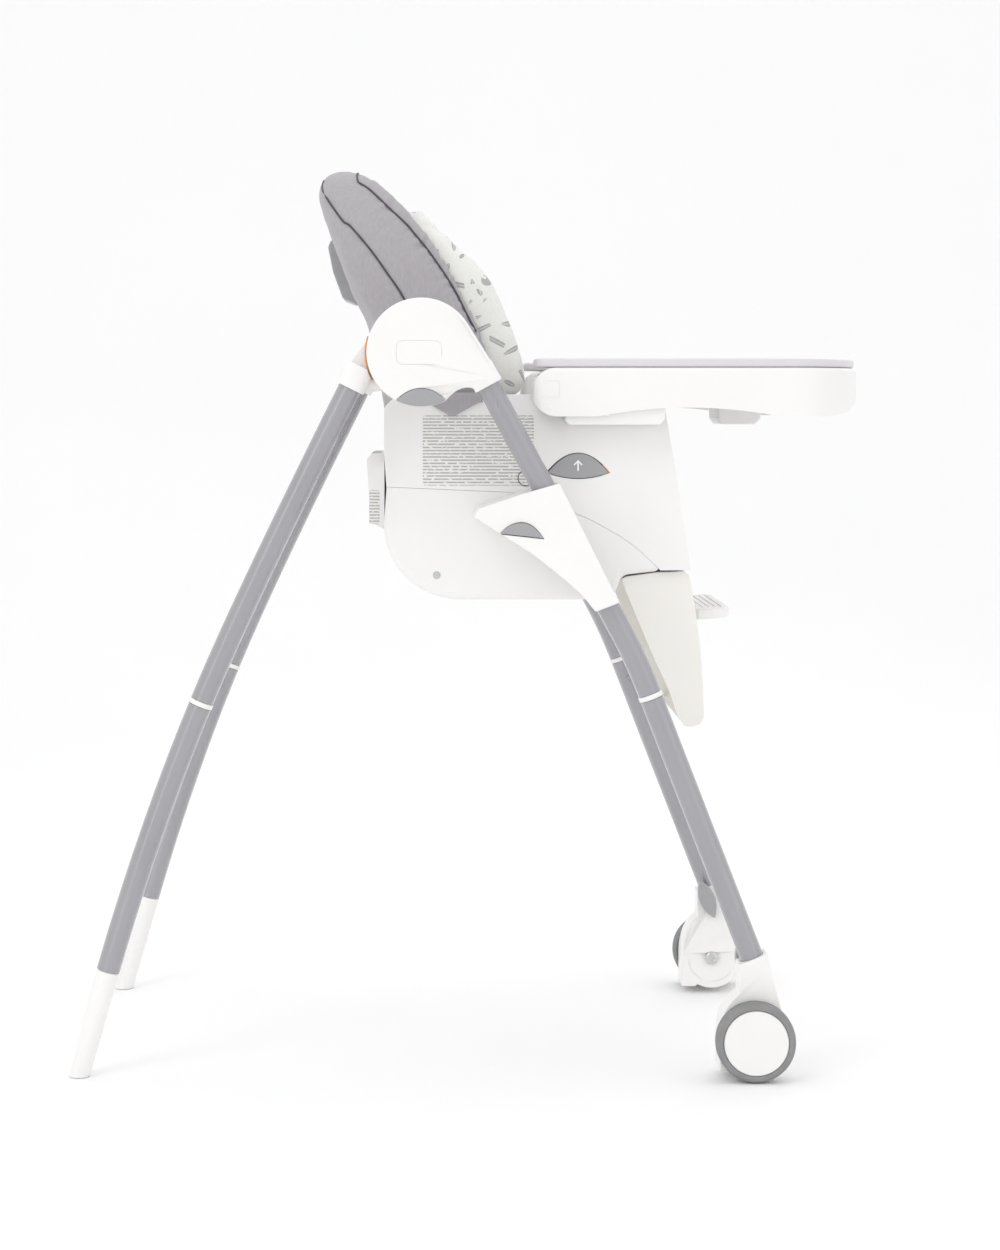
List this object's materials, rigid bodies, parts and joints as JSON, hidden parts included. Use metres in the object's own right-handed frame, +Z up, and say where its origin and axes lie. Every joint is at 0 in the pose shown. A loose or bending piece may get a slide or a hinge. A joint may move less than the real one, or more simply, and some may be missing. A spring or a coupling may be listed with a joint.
{
  "type": "baby high chair",
  "caption": "Folding A-frame baby high chair with a height-sliding lift-off seat, reclining padded backrest, sliding tray, swinging calf rest, footplate and front wheels.",
  "frame": {"origin": "middle of the footprint, on the floor", "axes": "+X the way the chair faces, +Y the sitter's left, +Z up"},
  "size_m": [0.9052, 0.58, 1.024],
  "materials": {
    "white_shell": "warm white moulded plastic, fine satin texture",
    "leg_tube": "satin grey powder coat over steel tube",
    "grey_button": "grey moulded plastic",
    "tyre": "soft grey rubber tread",
    "grey_fabric": "woven grey cover cloth with dark piping",
    "pad_fabric": "off-white padded cloth with grey leaf print",
    "tray_insert": "pale lavender-grey moulded plastic",
    "steel": "plated steel",
    "webbing": "woven grey harness webbing"
  },
  "bodies": {
    "front_frame": {"front_knuckle_L": "white_shell", "front_knuckle_R": "white_shell", "front_upper_tube_L": "leg_tube", "front_upper_tube_R": "leg_tube", "front_ring_L": "white_shell", "front_ring_R": "white_shell", "front_lower_tube_L": "leg_tube", "front_lower_tube_R": "leg_tube", "wheel_housing_L": "white_shell", "wheel_housing_R": "white_shell", "axle_pin_L": "steel", "axle_pin_R": "steel"},
    "rear_frame": {"rear_knuckle_L": "white_shell", "rear_knuckle_R": "white_shell", "rear_upper_tube_L": "leg_tube", "rear_upper_tube_R": "leg_tube", "rear_ring_L": "white_shell", "rear_ring_R": "white_shell", "rear_lower_tube_L": "leg_tube", "rear_lower_tube_R": "leg_tube", "rear_foot_L": "white_shell", "rear_foot_R": "white_shell"},
    "fold_button_left": {"fold_button_L": "grey_button"},
    "fold_button_right": {"fold_button_R": "grey_button"},
    "wheel_left": {"tyre_L": "tyre", "wheel_cap_L": "white_shell"},
    "wheel_right": {"tyre_R": "tyre", "wheel_cap_R": "white_shell"},
    "brake_left": {"brake_pedal_L": "grey_button"},
    "brake_right": {"brake_pedal_R": "grey_button"},
    "carriage": {"base_shell": "white_shell", "height_bracket_L": "white_shell", "height_bracket_R": "white_shell", "carriage_tube": "steel", "rear_pocket": "white_shell"},
    "height_lever_left": {"height_lever_L": "grey_button"},
    "height_lever_right": {"height_lever_R": "grey_button"},
    "seat": {"seat_shell": "white_shell", "seat_pad": "pad_fabric", "crotch_strap": "webbing", "lap_strap_L": "webbing", "lap_strap_R": "webbing", "buckle": "grey_button"},
    "buckle_push": {"buckle_button": "grey_button"},
    "seat_button_left": {"seat_button_L": "grey_button"},
    "seat_button_right": {"seat_button_R": "grey_button"},
    "backrest": {"backrest_shell": "grey_fabric", "back_pad": "pad_fabric", "side_bolster_L": "pad_fabric", "side_bolster_R": "pad_fabric", "shoulder_strap_L": "webbing", "shoulder_strap_R": "webbing"},
    "recline_grip": {"recline_handle": "grey_button"},
    "tray": {"tray_body": "white_shell", "tray_slider_L": "white_shell", "tray_slider_R": "white_shell"},
    "insert": {"tray_insert": "tray_insert"},
    "tray_grip": {"tray_handle": "grey_button"},
    "calf": {"calf_rest": "white_shell"},
    "foot_plate": {"footplate": "white_shell"}
  },
  "joints": [
    {"name": "frame_fold", "type": "hinge", "parent": "front_frame", "child": "rear_frame", "pos_m": [-0.06039, 0, 0.802], "axis": [0, -1, 0], "range_deg": [0, 40]},
    {"name": "fold_button_left_press", "type": "slide", "parent": "front_frame", "child": "fold_button_left", "axis": [0, -1, 0], "range_m": [0, 0.005], "stiffness_N_per_m": 600, "springref_m": -0.002},
    {"name": "fold_button_right_press", "type": "slide", "parent": "front_frame", "child": "fold_button_right", "axis": [0, 1, 0], "range_m": [0, 0.005], "stiffness_N_per_m": 600, "springref_m": -0.002},
    {"name": "seat_height", "type": "slide", "parent": "front_frame", "child": "carriage", "axis": [-0.4756, 0, 0.8796], "range_m": [-0.07, 0.085]},
    {"name": "height_lever_left_press", "type": "slide", "parent": "carriage", "child": "height_lever_left", "axis": [0, -1, 0], "range_m": [0, 0.005], "stiffness_N_per_m": 600, "springref_m": -0.002},
    {"name": "height_lever_right_press", "type": "slide", "parent": "carriage", "child": "height_lever_right", "axis": [0, 1, 0], "range_m": [0, 0.005], "stiffness_N_per_m": 600, "springref_m": -0.002},
    {"name": "seat_lift", "type": "slide", "parent": "carriage", "child": "seat", "axis": [0, 0, 1], "range_m": [0, 0.15]},
    {"name": "seat_button_left_press", "type": "slide", "parent": "seat", "child": "seat_button_left", "axis": [0, -1, 0], "range_m": [0, 0.004], "stiffness_N_per_m": 600, "springref_m": -0.002},
    {"name": "seat_button_right_press", "type": "slide", "parent": "seat", "child": "seat_button_right", "axis": [0, 1, 0], "range_m": [0, 0.004], "stiffness_N_per_m": 600, "springref_m": -0.002},
    {"name": "buckle_press", "type": "slide", "parent": "seat", "child": "buckle_push", "axis": [0, 0, -1], "range_m": [0, 0.0035], "stiffness_N_per_m": 600, "springref_m": -0.002},
    {"name": "backrest_recline", "type": "hinge", "parent": "seat", "child": "backrest", "pos_m": [-0.05539, 0, 0.69], "axis": [0, -1, 0], "range_deg": [0, 28]},
    {"name": "recline_grip_squeeze", "type": "hinge", "parent": "backrest", "child": "recline_grip", "pos_m": [-0.16439, 0, 0.936], "axis": [0, 1, 0], "range_deg": [0, 10], "stiffness_Nm_per_rad": 1.5, "springref_deg": -5.73},
    {"name": "tray_slide", "type": "slide", "parent": "seat", "child": "tray", "axis": [1, 0, 0], "range_m": [-0.02, 0.1]},
    {"name": "insert_lift", "type": "slide", "parent": "tray", "child": "insert", "axis": [0, 0, 1], "range_m": [0, 0.12]},
    {"name": "tray_grip_pull", "type": "slide", "parent": "tray", "child": "tray_grip", "axis": [1, 0, 0], "range_m": [0, 0.012], "stiffness_N_per_m": 300, "springref_m": -0.004},
    {"name": "calf_rest_swing", "type": "hinge", "parent": "carriage", "child": "calf", "pos_m": [0.23561, 0, 0.541], "axis": [0, -1, 0], "range_deg": [0, 50]},
    {"name": "footplate_slide", "type": "slide", "parent": "calf", "child": "foot_plate", "axis": [0.1036, 0, -0.9946], "range_m": [0, 0.09]},
    {"name": "wheel_left_spin", "type": "hinge", "parent": "front_frame", "child": "wheel_left", "pos_m": [0.30744, 0.278, 0.044], "axis": [0, 1, 0], "continuous": true},
    {"name": "wheel_right_spin", "type": "hinge", "parent": "front_frame", "child": "wheel_right", "pos_m": [0.30744, -0.278, 0.044], "axis": [0, 1, 0], "continuous": true},
    {"name": "brake_left_press", "type": "hinge", "parent": "front_frame", "child": "brake_left", "pos_m": [0.29299, 0.221, 0.1418], "axis": [0, 1, 0], "range_deg": [0, 12]},
    {"name": "brake_right_press", "type": "hinge", "parent": "front_frame", "child": "brake_right", "pos_m": [0.29299, -0.221, 0.1418], "axis": [0, 1, 0], "range_deg": [0, 12]}
  ]
}
